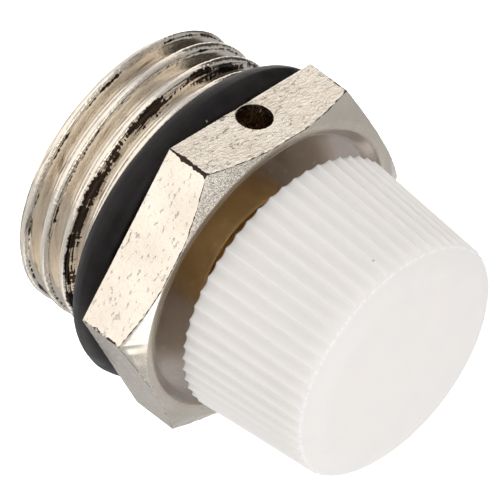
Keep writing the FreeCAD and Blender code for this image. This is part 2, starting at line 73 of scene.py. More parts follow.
class Wiring:
    """A short way of building one material's node tree."""

    def __init__(self, name: str) -> None:
        """Start an empty material with a Principled shader.

        Args:
            name: The material's name.
        """
        self.material = bpy.data.materials.new(name)
        self.material.use_nodes = True
        tree = self.material.node_tree
        tree.nodes.clear()
        self.nodes = tree.nodes
        self.links = tree.links
        self.output = self.nodes.new("ShaderNodeOutputMaterial")
        self.shader = self.nodes.new("ShaderNodeBsdfPrincipled")
        self.links.new(self.shader.outputs["BSDF"], self.output.inputs["Surface"])
        self._place = None

    def set(self, **values: object) -> None:
        """Set sockets of the shader by name, with underscores for spaces."""
        for key, value in values.items():
            self.shader.inputs[key.replace("_", " ")].default_value = value

    def feed(self, target: bpy.types.NodeSocket, value: object) -> None:
        """Link a socket or set a plain value on an input.

        Args:
            target: The input.
            value: A socket to link, or a number or colour to set.
        """
        if isinstance(value, bpy.types.NodeSocket):
            self.links.new(value, target)
        else:
            target.default_value = value

    def place(self) -> bpy.types.NodeSocket:
        """Object coordinates turned into millimetres.

        Returns:
            The vector, made once and then shared.
        """
        if self._place is None:
            source = self.nodes.new("ShaderNodeTexCoord").outputs["Object"]
            scaled = self.nodes.new("ShaderNodeVectorMath")
            scaled.operation = "SCALE"
            self.links.new(source, scaled.inputs[0])
            scaled.inputs["Scale"].default_value = 1.0 / MM
            self._place = scaled.outputs[0]
        return self._place

    def stretched(self, across: float, along: float) -> bpy.types.NodeSocket:
        """Object coordinates scaled unequally.

        Args:
            across: Scale of X and Y.
            along: Scale of Z.

        Returns:
            The scaled vector.
        """
        node = self.nodes.new("ShaderNodeVectorMath")
        node.operation = "MULTIPLY"
        self.links.new(self.place(), node.inputs[0])
        node.inputs[1].default_value = (across, across, along)
        return node.outputs[0]

    def math(self, operation: str, *values: object) -> bpy.types.NodeSocket:
        """One Math node fed by sockets or numbers.

        Args:
            operation: The node's operation.
            values: Its inputs, in order.

        Returns:
            The result.
        """
        node = self.nodes.new("ShaderNodeMath")
        node.operation = operation
        for target, value in zip(node.inputs, values):
            self.feed(target, value)
        return node.outputs[0]

    def axial(self) -> tuple:
        """Object coordinates split as X, Y, Z sockets and the distance from the Z axis.

        Returns:
            (x, y, z, radius) sockets in millimetres.
        """
        split = self.nodes.new("ShaderNodeSeparateXYZ")
        self.links.new(self.place(), split.inputs[0])
        x, y, z = split.outputs
        square = self.math("ADD", self.math("MULTIPLY", x, x), self.math("MULTIPLY", y, y))
        return x, y, z, self.math("SQRT", square)

    def ringed(self, around: float, radial: float, along: float) -> bpy.types.NodeSocket:
        """Coordinates whose noise draws rings about Z: direction times around, then radius and height.

        Args:
            around: How quickly the pattern changes round the axis.
            radial: Scale of the distance from the axis.
            along: Scale of the height.

        Returns:
            A vector (cos * around, sin * around, radius * radial + z * along).
        """
        x, y, z, radius = self.axial()
        safe = self.math("MAXIMUM", radius, 0.01)
        node = self.nodes.new("ShaderNodeCombineXYZ")
        for target, side in ((node.inputs[0], x), (node.inputs[1], y)):
            self.links.new(self.math("MULTIPLY", self.math("DIVIDE", side, safe), around), target)
        height = self.math("ADD", self.math("MULTIPLY", radius, radial), self.math("MULTIPLY", z, along))
        self.links.new(height, node.inputs[2])
        return node.outputs[0]

    def noise(
        self, vector: bpy.types.NodeSocket, scale: float, detail: float = 3.0, rough: float = 0.5
    ) -> bpy.types.NodeSocket:
        """Noise between 0 and 1 read at a vector.

        Args:
            vector: Where to read it.
            scale: How fine the pattern is.
            detail: How many finer layers are added.
            rough: How strong the finer layers are.

        Returns:
            The noise.
        """
        node = self.nodes.new("ShaderNodeTexNoise")
        self.links.new(vector, node.inputs["Vector"])
        node.inputs["Scale"].default_value = scale
        node.inputs["Detail"].default_value = detail
        node.inputs["Roughness"].default_value = rough
        return node.outputs["Fac"]

    def cells(self, vector: bpy.types.NodeSocket, scale: float) -> bpy.types.NodeSocket:
        """Distance to the nearest point of a scattered set.

        Args:
            vector: Where to read it.
            scale: How close together the points are.

        Returns:
            The distance.
        """
        node = self.nodes.new("ShaderNodeTexVoronoi")
        self.links.new(vector, node.inputs["Vector"])
        node.inputs["Scale"].default_value = scale
        return node.outputs["Distance"]

    def step(
        self, value: bpy.types.NodeSocket, low: float, high: float, start: float = 0.0, end: float = 1.0
    ) -> bpy.types.NodeSocket:
        """Map a span smoothly onto another, clamped at both ends.

        Args:
            value: The number to map.
            low: Where the span starts.
            high: Where the span ends.
            start: Result at and before low.
            end: Result at and after high.

        Returns:
            The mapped number.
        """
        node = self.nodes.new("ShaderNodeMapRange")
        node.interpolation_type = "SMOOTHSTEP"
        self.links.new(value, node.inputs["Value"])
        for key, number in (("From Min", low), ("From Max", high), ("To Min", start), ("To Max", end)):
            node.inputs[key].default_value = number
        return node.outputs["Result"]

    def attribute(self, name: str) -> bpy.types.NodeSocket:
        """A named number stored on the mesh.

        Args:
            name: The attribute's name.

        Returns:
            The number, 0 where a mesh has no such attribute.
        """
        node = self.nodes.new("ShaderNodeAttribute")
        node.attribute_name = name
        return node.outputs["Fac"]

    def mix(self, share: bpy.types.NodeSocket, first: object, second: object) -> bpy.types.NodeSocket:
        """Blend two colours by a share.

        Args:
            share: How much of the second colour shows.
            first: A colour socket or an RGB tuple.
            second: A colour socket or an RGB tuple.

        Returns:
            The blended colour.
        """
        node = self.nodes.new("ShaderNodeMix")
        node.data_type = "RGBA"
        self.links.new(share, node.inputs["Factor"])
        for target, value in ((node.inputs[6], first), (node.inputs[7], second)):
            if isinstance(value, bpy.types.NodeSocket):
                self.links.new(value, target)
            else:
                target.default_value = (*value, 1.0)
        return node.outputs[2]

    def colour(self, value: bpy.types.NodeSocket) -> None:
        """Feed the base colour."""
        self.links.new(value, self.shader.inputs["Base Color"])

    def roughness(self, value: bpy.types.NodeSocket) -> None:
        """Feed the roughness."""
        self.links.new(value, self.shader.inputs["Roughness"])

    def relief(self, *layers: tuple) -> None:
        """Chain bump nodes into the shader's normal.

        Args:
            layers: Pairs of (height socket, depth in millimetres).
        """
        normal = None
        for height, depth in layers:
            bump = self.nodes.new("ShaderNodeBump")
            bump.inputs["Distance"].default_value = depth * MM
            self.links.new(height, bump.inputs["Height"])
            if normal is not None:
                self.links.new(normal, bump.inputs["Normal"])
            normal = bump.outputs["Normal"]
        self.links.new(normal, self.shader.inputs["Normal"])


@dataclass(frozen=True)
class NickelPlate:
    """Warm nickel plate over machined brass."""

    name: str
    grain: Grain
    tint: tuple = (0.76, 0.70, 0.612)
    shade: tuple = (0.66, 0.585, 0.495)
    # Near-black for torn dashes on the collar's edges and for the painted shadow lines beside the thread
    # crests.
    burr_and_shadow: tuple = (0.045, 0.033, 0.026)
    # Painted shade for the inside of the drain hole.
    hole_painted_shade: tuple = (0.30, 0.215, 0.15)
    pit: tuple = (0.38, 0.31, 0.25)
    streak: tuple = (0.17, 0.125, 0.09)
    pepper: tuple = (0.24, 0.22, 0.20)
    stain: tuple = (0.66, 0.60, 0.54)
    polish: float = 0.16
    pull: float = 0.9
    edge_dark_start: float = 0.88
    edge_dark_end: float = 0.96
    lump_depth: float = 0.045
    grain_depth: float = 0.070
    dent_depth: float = 0.062
    chatter_depth: float = 0.07

    def make(self) -> bpy.types.Material:
        """Build the plate with the relief of its last machining operation.

        Returns:
            The finished material.
        """
        w = Wiring(self.name)
        w.set(Metallic=1.0)
        cloud = w.noise(w.place(), 0.35, 4.0)
        tone = w.mix(w.step(cloud, 0.2, 0.9), self.tint, self.shade)
        if self.grain is Grain.ROLLED:
            self._rolled(w, tone)
        elif self.grain is Grain.THREADED:
            self._threaded(w, tone)
        elif self.grain is Grain.SHOT:
            self._shot(w, tone)
        else:
            self._turned(w, tone)
        return w.material

    def _edged(self, w: Wiring, tone: bpy.types.NodeSocket, breakup: bpy.types.NodeSocket) -> None:
        """Colour the plate: the marked edges are darkened with torn dashes and painted shadow lines, and
        the deep holes with painted shade.

        Args:
            w: The material.
            tone: Colour of the clean plate.
            breakup: Noise that breaks the marked edges into ragged dashes.
        """
        # The edge mark carries torn dashes and, on the thread, painted shadow lines beside each crest.
        pull = w.math("MULTIPLY", w.attribute("edge"), self.pull)
        torn = w.step(w.math("ADD", pull, breakup), self.edge_dark_start, self.edge_dark_end)
        dashed = w.mix(torn, tone, self.burr_and_shadow)
        # The deep mark mixes painted shade into the drain hole.
        w.colour(w.mix(w.attribute("deep"), dashed, self.hole_painted_shade))

    def _rolled(self, w: Wiring, tone: bpy.types.NodeSocket) -> None:
        """Drawn hexagon bar: soft lumps, a coarse grain and a few short pits.

        Args:
            w: The material.
            tone: Colour of the clean plate.
        """
        lumps = w.noise(w.stretched(1.0, 1.5), 0.95, 2.0)
        grain = w.noise(w.stretched(1.0, 1.9), 3.1, 2.5, 0.5)
        dents = w.step(w.noise(w.stretched(1.0, 2.4), 1.7, 4.0, 0.6), 0.26, 0.40)
        pits = w.step(w.noise(w.stretched(1.3, 3.0), 2.3, 4.0, 0.62), 0.16, 0.25)
        coarse = w.attribute("coarse")
        heights = [w.math("MULTIPLY", height, coarse) for height in (lumps, grain, dents)]
        w.relief(*zip(heights, (self.lump_depth, self.grain_depth, self.dent_depth)))
        dark = w.mix(pits, self.pit, tone)
        self._edged(w, dark, w.noise(w.place(), 2.2, 3.0))
        w.roughness(w.step(grain, 0.3, 0.7, self.polish, self.polish + 0.1))

    def _threaded(self, w: Wiring, tone: bpy.types.NodeSocket) -> None:
        """Chased thread: long drag lines round the axis, chatter across the crests.

        Args:
            w: The material.
            tone: Colour of the clean plate.
        """
        lines = w.noise(w.ringed(7.0, 12.0, 12.0), 1.0, 4.0, 0.6)
        drag = w.noise(w.ringed(30.0, 6.0, 6.0), 1.0, 3.0, 0.55)
        gaps = w.noise(w.ringed(3.0, 1.0, 1.0), 1.0, 2.0)
        ripple = w.noise(w.ringed(52.0, 2.0, 2.0), 1.0, 2.0)
        chatter = w.math("MULTIPLY", ripple, w.attribute("crest"))
        w.relief((lines, 0.009), (drag, 0.010), (chatter, self.chatter_depth))
        ticks = w.noise(w.ringed(44.0, 2.0, 2.0), 1.0, 1.5)
        dashes = w.math("ADD", ticks, w.step(gaps, 0.3, 0.7, -0.20, 0.10))
        combed = w.step(w.noise(w.ringed(4.0, 9.0, 9.0), 1.0, 2.0, 0.5), 0.36, 0.58, -0.34, 0.08)
        streaks = w.step(w.noise(w.ringed(2.6, 7.0, 9.0), 1.0, 4.0, 0.6), 0.56, 0.70, 0.0, 0.72)
        streaked = w.mix(streaks, tone, self.streak)
        # The edge mark darkens the thread with painted shadow lines beside the crests, broken into dashes.
        self._edged(w, streaked, w.math("ADD", dashes, combed))
        w.roughness(w.step(lines, 0.3, 0.7, self.polish, self.polish + 0.08))

    def _shot(self, w: Wiring, tone: bpy.types.NodeSocket) -> None:
        """Sawn chamfer: matt, with a fine random pepper.

        Args:
            w: The material.
            tone: Colour of the clean plate.
        """
        speckled = w.attribute("speck")
        pepper = w.noise(w.place(), 9.0, 4.0, 0.7)
        arcs = w.noise(w.ringed(16.0, 7.0, 7.0), 1.0, 3.0)
        w.relief((arcs, 0.004), (w.math("MULTIPLY", pepper, speckled), 0.04))
        light = w.math("MULTIPLY", w.step(pepper, 0.60, 0.36), speckled)
        self._edged(w, w.mix(light, tone, self.pepper), w.noise(w.place(), 2.2, 3.0))
        w.roughness(w.step(pepper, 0.3, 0.7, 0.30, 0.22))

    def _turned(self, w: Wiring, tone: bpy.types.NodeSocket) -> None:
        """Turned face: fine rings and a few stains.

        Args:
            w: The material.
            tone: Colour of the clean plate.
        """
        bored = self.grain is Grain.BORED
        rings = w.noise(w.ringed(2.2, 11.0, 11.0), 1.0, 5.0, 0.68)
        stains = w.step(w.noise(w.place(), 1.3, 4.0), 0.58, 0.72)
        grit = w.step(w.cells(w.place(), 0.9), 0.07, 0.03)
        w.relief((rings, 0.006 if bored else 0.0016), (grit, 0.02))
        w.colour(w.mix(stains, tone, self.stain))
        w.roughness(w.step(rings, 0.3, 0.75, self.polish + 0.06, self.polish + 0.14))


@dataclass(frozen=True)
class BareMetal:
    """Uncoated brass or stainless steel, turned or drawn."""

    name: str
    tint: tuple
    shade: tuple
    polish: float = 0.24

    def make(self) -> bpy.types.Material:
        """Build the metal with turning lines and light tarnish.

        Returns:
            The finished material.
        """
        w = Wiring(self.name)
        w.set(Metallic=1.0)
        rings = w.noise(w.ringed(3.0, 8.0, 8.0), 1.0, 4.0, 0.6)
        tarnish = w.noise(w.place(), 0.8, 4.0)
        w.colour(w.mix(w.step(tarnish, 0.35, 0.7), self.tint, self.shade))
        w.roughness(w.step(rings, 0.3, 0.7, self.polish, self.polish + 0.14))
        w.relief((rings, 0.006))
        return w.material


@dataclass(frozen=True)
class MouldedRubber:
    """Black seal rubber with a faint bloom and a little dust."""

    name: str = "seal_rubber"
    base: tuple = (0.005, 0.0035, 0.003)
    bloom: tuple = (0.011, 0.009, 0.009)
    dust: tuple = (0.34, 0.33, 0.31)

    def make(self) -> bpy.types.Material:
        """Build the rubber.

        Returns:
            The finished material.
        """
        w = Wiring(self.name)
        w.set(Metallic=0.0, Specular_IOR_Level=0.22)
        cloud = w.noise(w.place(), 0.7, 4.0)
        skin = w.noise(w.place(), 9.0, 3.0)
        specks = w.step(w.cells(w.place(), 0.62), 0.075, 0.04)
        matt = w.mix(w.step(cloud, 0.35, 0.7), self.base, self.bloom)
        w.colour(w.mix(w.math("MULTIPLY", specks, w.step(skin, 0.4, 0.6)), matt, self.dust))
        w.roughness(w.step(cloud, 0.3, 0.7, 0.36, 0.5))
        w.relief((cloud, 0.03), (skin, 0.006))
        return w.material


@dataclass(frozen=True)
class MilkyPlastic:
    """White moulded plastic that lets a little light in."""

    name: str = "knob_plastic"
    base: tuple = (0.895, 0.828, 0.780)
    cool: tuple = (0.865, 0.822, 0.785)
    glow: tuple = (1.0, 0.95, 0.90)
    speck: tuple = (0.42, 0.40, 0.40)
    # Painted highlight colour for the bead at the rib ends.
    painted_highlight: tuple = (0.99, 0.96, 0.94)
    depth: float = 2.6

    def make(self) -> bpy.types.Material:
        """Build the plastic with faint flow marks, a few dark specks and a painted highlight on the bead.

        Returns:
            The finished material.
        """
        w = Wiring(self.name)
        w.set(
            Metallic=0.0,
            Subsurface_Weight=1.0,
            Subsurface_Radius=self.glow,
            Subsurface_Scale=self.depth * MM,
            IOR=1.49,
            Specular_IOR_Level=0.36,
        )
        flow = w.noise(w.stretched(0.35, 0.12), 1.0, 3.0)
        skin = w.noise(w.place(), 5.0, 4.0)
        specks = w.step(w.cells(w.place(), 0.16), 0.022, 0.012)
        tone = w.mix(w.step(flow, 0.3, 0.7), self.base, self.cool)
        # The lip mark paints a highlight on the bead.
        w.colour(w.mix(w.attribute("lip"), w.mix(specks, tone, self.speck), self.painted_highlight))
        w.roughness(w.step(skin, 0.3, 0.7, 0.46, 0.56))
        w.relief((skin, 0.006), (flow, 0.05))
        return w.material


@dataclass(frozen=True)
class PressedFibre:
    """Pressed cellulose board."""

    name: str = "disc_fibre"
    base: tuple = (0.66, 0.54, 0.37)
    dark: tuple = (0.42, 0.32, 0.20)

    def make(self) -> bpy.types.Material:
        """Build the board with short matted fibres.

        Returns:
            The finished material.
        """
        w = Wiring(self.name)
        w.set(Metallic=0.0, Sheen_Weight=0.25)
        fibres = w.noise(w.stretched(2.5, 9.0), 1.4, 6.0, 0.7)
        w.colour(w.mix(w.step(fibres, 0.35, 0.65), self.dark, self.base))
        w.roughness(w.step(fibres, 0.3, 0.7, 0.85, 0.98))
        w.relief((fibres, 0.04))
        return w.material


@dataclass(frozen=True)
class StudioPaper:
    """Seamless paper or card, with a trace of tooth."""

    name: str = "studio_paper"
    shade: float = 0.93
    glow: float = 0.25

    def make(self) -> bpy.types.Material:
        """Build the paper.

        Returns:
            The finished material.
        """
        w = Wiring(self.name)
        w.set(Emission_Color=(1.0, 1.0, 1.0, 1.0), Emission_Strength=self.glow)
        tooth = w.noise(w.place(), 0.05, 3.0)
        w.colour(w.mix(w.step(tooth, 0.2, 0.8), (self.shade,) * 3, (self.shade * 1.02,) * 3))
        w.roughness(w.step(tooth, 0.2, 0.8, 0.85, 0.95))
        return w.material


def wobble(turn: np.ndarray, low: int, high: int, seed: int, tilt: float = 0.6) -> np.ndarray:
    """A wandering line round a circle: a sum of cosines of whole-number order with random phase.

    Args:
        turn: Angles in radians, any shape.
        low: Lowest order.
        high: Highest order.
        seed: Random seed.
        tilt: How fast the higher orders fade.

    Returns:
        Values of about unit spread, in the shape of turn.
    """
    rng = np.random.default_rng(seed)
    orders = np.arange(low, high + 1)
    strength = (orders / low) ** -tilt
    phases = rng.uniform(0, 2 * math.pi, orders.size)
    waves = np.cos(turn[..., None] * orders + phases) * strength
    return waves.sum(-1) / math.sqrt((strength**2).sum() / 2)


def smooth_step(x: np.ndarray, low: float, high: float) -> np.ndarray:
    """0 below low, 1 above high, and 3t^2 - 2t^3 between."""
    t = np.clip((x - low) / (high - low), 0.0, 1.0)
    return t * t * (3 - 2 * t)


def bell(x: np.ndarray, middle: object, width: object, power: int = 2) -> np.ndarray:
    """1 at the middle, falling away on both sides: exp(-((x - middle) / width)^power)."""
    return np.exp(-(((x - middle) / width) ** power))


def softened_path(corners: Sequence, radii: Sequence, steps: Sequence, bend_rows: int = 4) -> tuple:
    """Carry a cornered profile round every angle at once, with each inner corner eased.

    Between corners the rows are evenly spaced on the straight run. At a corner they follow the
    quadratic curve whose ends lie a corner radius back along both runs and whose handle is the corner.

    Args:
        corners: (n, 2) arrays of radius and height, one per corner, in millimetres.
        radii: Easing length at each corner; the first and last are not eased.
        steps: Rows on each straight run.
        bend_rows: Rows on each eased corner.

    Returns:
        (rows, n, 2) profile points and the run number of each row, which is k + 0.5 at corner k + 1.
    """
    corners = np.stack(corners)
    rows, runs = [], []
    start = corners[0]
    for k in range(len(corners) - 1):
        here, after = corners[k], corners[k + 1]
        last = k == len(corners) - 2
        end = after
        if not last:
            along = after - here
            length = np.linalg.norm(along, axis=1, keepdims=True)
            ease_in = np.minimum(radii[k + 1], 0.45 * length)
            end = after - along / np.maximum(length, 1e-9) * ease_in
        share = np.linspace(0, 1, steps[k] + 1)[:, None, None]
        straight = start * (1 - share) + end * share
        rows.append(straight if last else straight[:-1])
        runs += [float(k)] * (len(rows[-1]))
        if not last:
            onward = corners[k + 2] - after
            length = np.linalg.norm(onward, axis=1, keepdims=True)
            ease_out = np.minimum(radii[k + 1], 0.45 * length)
            start = after + onward / np.maximum(length, 1e-9) * ease_out
            share = np.linspace(0, 1, bend_rows + 1)[:-1, None, None]
            bend = end * (1 - share) ** 2 + after * 2 * share * (1 - share) + start * share**2
            rows.append(bend)
            runs += [k + 0.5] * bend_rows
    return np.concatenate(rows), np.array(runs)


@dataclass
class GridMesh:
    """A surface laid on a grid of rows along a profile and columns round the axis."""

    name: str
    points: np.ndarray
    close_rows: bool = False
    close_columns: bool = True
    weld: bool = False
    finish: np.ndarray | None = None
    marks: dict = field(default_factory=dict)

    def faces(self) -> np.ndarray:
        """Corner numbers of every quad, wound so that the closed shape has positive volume.

        Returns:
            (faces, 4) array.
        """
        rows, columns = self.points.shape[:2]
        i = np.arange(rows if self.close_rows else rows - 1)
        j = np.arange(columns if self.close_columns else columns - 1)
        i, j = np.meshgrid(i, j, indexing="ij")
        up, right = (i + 1) % rows, (j + 1) % columns
        quads = np.stack([i * columns + j, i * columns + right, up * columns + right, up * columns + j], -1)
        quads = quads.reshape(-1, 4)
        p = self.points.reshape(-1, 3)
        a, b, c, d = (p[quads[:, k]] for k in range(4))
        volume = np.einsum("ij,ij->", a, np.cross(b, c)) + np.einsum("ij,ij->", a, np.cross(c, d))
        return quads[:, ::-1] if volume < 0 else quads

    def build(self, materials: Sequence) -> bpy.types.Object:
        """Make the object.

        Args:
            materials: Its finishes, in the order that the face finish numbers use.

        Returns:
            The new object, at the origin and linked to the scene.
        """
        mesh = bpy.data.meshes.new(self.name)
        vertices = (self.points.reshape(-1, 3) * MM).astype(np.float32)
        quads = self.faces()
        mesh.vertices.add(len(vertices))
        mesh.vertices.foreach_set("co", vertices.ravel())
        mesh.loops.add(quads.size)
        mesh.loops.foreach_set("vertex_index", quads.ravel().astype(np.int32))
        mesh.polygons.add(len(quads))
        mesh.polygons.foreach_set("loop_start", np.arange(0, quads.size, 4, dtype=np.int32))
        if self.finish is not None:
            columns = self.points.shape[1]
            row_of_face = quads.min(axis=1) // columns
            if self.close_rows:
                wraps = (quads.max(axis=1) // columns - row_of_face) > 1
                row_of_face = np.where(wraps, self.points.shape[0] - 1, row_of_face)
            mesh.polygons.foreach_set("material_index", self.finish[row_of_face].astype(np.int32))
        for name, values in self.marks.items():
            layer = mesh.attributes.new(name, "FLOAT", "POINT")
            layer.data.foreach_set("value", values.astype(np.float32).ravel())
        mesh.update(calc_edges=True)
        for material in materials:
            mesh.materials.append(material)
        if self.weld:
            work = bmesh.new()
            work.from_mesh(mesh)
            bmesh.ops.remove_doubles(work, verts=work.verts, dist=2e-7)
            bmesh.ops.dissolve_degenerate(work, edges=work.edges, dist=1e-8)
            work.to_mesh(mesh)
            work.free()
        mesh.shade_smooth()
        thing = bpy.data.objects.new(self.name, mesh)
        bpy.context.scene.collection.objects.link(thing)
        log.info("%s: %d faces", self.name, len(mesh.polygons))
        return thing


def level_ring(radius: object, height: object, turn: np.ndarray) -> np.ndarray:
    """One profile corner as (columns, 2) radius and height; either may be a number or one per column."""
    return np.stack([radius * np.ones(turn.size), height * np.ones(turn.size)], -1)


def around_axis(profile: np.ndarray, turn: np.ndarray) -> np.ndarray:
    """Points of (rows, columns, 2) radius and height at each column's angle."""
    radius, height = profile[..., 0], profile[..., 1]
    return np.stack([radius * np.cos(turn), radius * np.sin(turn), height], -1)


@dataclass(frozen=True)
class Tearing:
    """How the crests are torn, and where painted shadow lines run beside them: places and widths are shares
    of the pitch, depths are millimetres.
    """

    lower_lip: float = 0.40
    upper_lip: float = 0.592
    lip_width: float = 0.02
    fine_depth: float = 0.010
    slow_depth: float = 0.008
    lip_drop: float = 0.012
    gouge_place: float = 0.70
    gouge_width: float = 0.022
    gouge_depth: float = 0.03
    line_place: float = 0.695
    line_width: float = 0.030
    line_strength: float = 0.52
    line_sway: float = 0.22
    last_shift: float = 0.03
    last_spread: float = 0.095
    last_gain: float = 0.46
    # The next three fields place a thin painted shadow line below each crest.
    low_shadow_place: float = 0.385
    low_shadow_width: float = 0.018
    low_shadow_strength: float = 0.68

    def depth(self, place: np.ndarray, fine: np.ndarray, slow: np.ndarray) -> np.ndarray:
        """Radius gained or lost: both lips waver, and the gouge behind the crest is cut in.

        Args:
            place: Place within the pitch.
            fine: Quick wandering line along the thread.
            slow: Slow wandering line along the thread.

        Returns:
            Change of radius in millimetres.
        """
        lip = bell(place, self.lower_lip, self.lip_width) + bell(place, self.upper_lip, self.lip_width)
        gouge = bell(place, self.gouge_place, self.gouge_width)
        waver = self.fine_depth * fine + self.slow_depth * slow - self.lip_drop
        return lip * waver - gouge * self.gouge_depth * np.abs(fine)

    def line(self, place: np.ndarray, sway: np.ndarray, last: np.ndarray) -> np.ndarray:
        """Strength of the painted shadow lines: one above each crest, broad on the last, and a thin one
        below.

        Args:
            place: Place within the pitch.
            sway: Slow wandering line along the thread.
            last: 1 on the last crest and 0 on the others.

        Returns:
            Values from 0 to 1.
        """
        width = self.line_width + self.last_spread * last
        middle = self.line_place + self.last_shift * last
        gain = 1 + self.line_sway * sway + self.last_gain * last
        above = self.line_strength * bell(place, middle, width) * gain
        below = self.low_shadow_strength * bell(place, self.low_shadow_place, self.low_shadow_width)
        return np.clip(above + below, 0, 1)


@dataclass
class ValveBody:
    """Nickel-plated body: chased G 1/2 thread, sealing groove, hexagon, dished front and drain hole."""

    pitch: float = 1.814
    major: float = 10.4775
    minor: float = 9.3155
    phase: float = 0.235
    end_r: float = 9.75
    groove_r: float = 9.2
    run: float = 6.45
    groove_low: float = 7.4
    seat_z: float = 9.6
    front_z: float = 14.0
    flat: float = 11.5
    corner_round: float = 0.16
    chamfer_r: float = 11.55
    chamfer_slope: float = math.tan(math.radians(30))
    dish_rim: float = 10.83
    dish_floor: float = 9.99
    dish_z: float = 13.05
    bore_r: float = 5.0
    mouth_r: float = 5.4
    gland_r: float = 5.75
    gland_low: float = 11.85
    gland_high: float = 12.7
    relief_r: float = 6.0
    relief_low: float = 9.7
    relief_high: float = 11.6
    inlet_r: float = 7.6
    clip_r: float = 8.1
    clip_low: float = 0.25
    clip_high: float = 0.87
    wall_low: float = 5.0
    wall_high: float = 6.0
    port_r: float = 2.5
    lip_r: float = 3.3
    lip_z: float = 6.3
    chamber_r: float = 5.4
    chamber_z: float = 7.2
    join_z: float = 9.65
    lap_z: float = 8.6
    drain_z: float = 10.93
    drain_r: float = 1.25
    drain_bore: float = 0.6
    drain_depth: float = 3.0
    drain_end: float = 5.3
    drain_reach: float = 1.75
    spigot_columns: int = 560
    tearing: Tearing = Tearing()

    def thread_radius(self, phase: np.ndarray) -> np.ndarray:
        """Radius of the thread against its phase, 0 to 1 from the middle of one groove to the next.

        Straight runs join the root flat, the lower flank, the crest flat, a dragged bevel on the
        crest's upper edge and the upper flank.

        Args:
            phase: Place within the pitch.

        Returns:
            Radii in millimetres.
        """
        depth = self.major - self.minor
        places = [0, 0.075, 0.10, 0.385, 0.405, 0.575, 0.60]
        places += [0.68, 0.695, 0.705, 0.72, 0.89, 0.925, 1.0]
        drops = [1, 0.985, 0.93, 0.030, 0, 0, 0.025]
        drops += [0.16, 0.195, 0.23, 0.26, 0.93, 0.985, 1.0]
        return self.major - depth * np.interp(phase, places, drops)

    def blank_radius(self, z: np.ndarray) -> np.ndarray:
        """Outline that the thread is cut in: end chamfer, barrel, then the run down to the groove.

        Args:
            z: Heights in millimetres.

        Returns:
            The largest radius that the thread may have there.
        """
        start = self.end_r + z * (self.major - self.end_r) / 0.7
        finish = self.groove_r + (self.run + 0.85 - z) * 1.5
        return np.clip(np.minimum(start, finish), self.groove_r, self.major)

    def spigot_bore(self, start_r: np.ndarray, turn: np.ndarray) -> np.ndarray:
        """Inside of the spigot: inlet with its clip groove, port with its seat lip, chamber and bore.

        Args:
            start_r: Radius of the end face's outer edge in each column.
            turn: Column angles.

        Returns:
            (rows, columns, 2) radius and height, from the end face to the lapped top.
        """
        lapped_r = self.bore_r + 0.05
        inside = [
            (start_r, 0.0),
            (self.inlet_r, 0.0),
            (self.inlet_r, self.clip_low),
            (self.clip_r, self.clip_low),
            (self.clip_r, self.clip_high),
            (self.inlet_r, self.clip_high),
            (self.inlet_r, self.wall_low),
            (self.port_r, self.wall_low),
            (self.port_r, self.lip_z),
            (self.lip_r, self.lip_z),
            (self.lip_r, self.wall_high),
            (self.chamber_r, self.wall_high),
            (self.chamber_r, self.chamber_z),
            (self.bore_r, self.chamber_z + 0.4),
            (self.bore_r, self.lap_z - 0.1),
            (lapped_r, self.lap_z),
            (lapped_r, self.join_z),
        ]
        corners = [level_ring(radius, height, turn) for radius, height in inside]
        easing = [0.0] + [0.04] * (len(corners) - 2) + [0.0]
        steps = [2, 1, 1, 1, 1, 4, 3] + [1] * 9
        return softened_path(corners, easing, steps, 2)[0]

    def spigot(self, materials: Sequence) -> bpy.types.Object:
        """Threaded spigot: rows climb with the helix, so that crests and flanks stay clean.

        Row i of column j stands at z = z0 + pitch * (i / rows per pitch + j / columns), held between
        the end face and the top of the groove. One whole turn on, each column meets the first column
        a pitch higher, and the seam is welded.

        Args:
            materials: Thread and bore finishes.

        Returns:
            The spigot.
        """
        rows = [0, 0.04, 0.075, 0.10, 0.18, 0.26, 0.34, 0.385, 0.395, 0.405, 0.45, 0.5, 0.55]
        rows += [0.575, 0.588, 0.60, 0.64, 0.68, 0.695, 0.705, 0.72, 0.755, 0.80, 0.85, 0.89, 0.925, 0.96]
        phases = np.array(rows)
        turns = np.arange(-2, 5)
        climb = (turns[:, None] + phases[None, :]).ravel()
        turn = np.linspace(0, 2 * math.pi, self.spigot_columns + 1)
        lift = turn / (2 * math.pi)
        z = self.phase + self.pitch * (climb[:, None] + lift[None, :])
        place = (climb % 1.0)[:, None]
        radius = np.repeat(self.thread_radius(place), turn.size, axis=1)
        spiral = turn[None, :] + 2 * math.pi * 0.37 * np.floor(climb)[:, None]
        seam = (smooth_step(turn, 0, 0.25) * smooth_step(2 * math.pi - turn, 0, 0.25))[None, :]
        fine, slow = wobble(spiral, 60, 240, 5, 0.2), wobble(spiral, 8, 40, 6, 0.5)
        radius = np.minimum(radius + seam * self.tearing.depth(place, fine, slow), self.major)
        crest_z = self.phase + self.pitch * (np.floor(climb)[:, None] + 0.5 + lift[None, :])
        last = smooth_step(crest_z, 3.7, 4.2) * (1 - smooth_step(crest_z, 5.2, 5.5))
